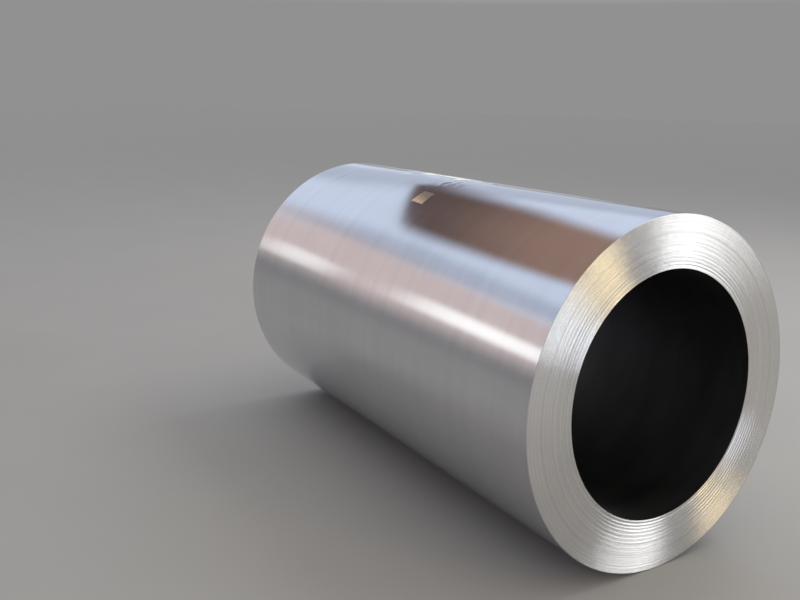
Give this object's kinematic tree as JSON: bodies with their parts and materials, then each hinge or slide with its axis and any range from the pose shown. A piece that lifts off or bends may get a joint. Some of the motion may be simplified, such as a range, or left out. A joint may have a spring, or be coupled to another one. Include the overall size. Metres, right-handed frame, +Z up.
{
  "type": "steel coil",
  "caption": "Coil of zinc coated steel strip lying on its side, with a through bore for a mandrel or lifting hook.",
  "frame": {"origin": "on the floor under the middle of the coil, where the outer turn rests", "axes": "+X along the coil's axis, towards the end that the picture shows; +Z up; +Y towards the side that the picture hides"},
  "size_m": [1.2206, 0.724, 0.7236],
  "materials": {
    "zinc_coated_steel": "satin",
    "paper_tape": "matte"
  },
  "bodies": {
    "root": {"coil": "zinc_coated_steel", "tape": "paper_tape"}
  },
  "joints": []
}
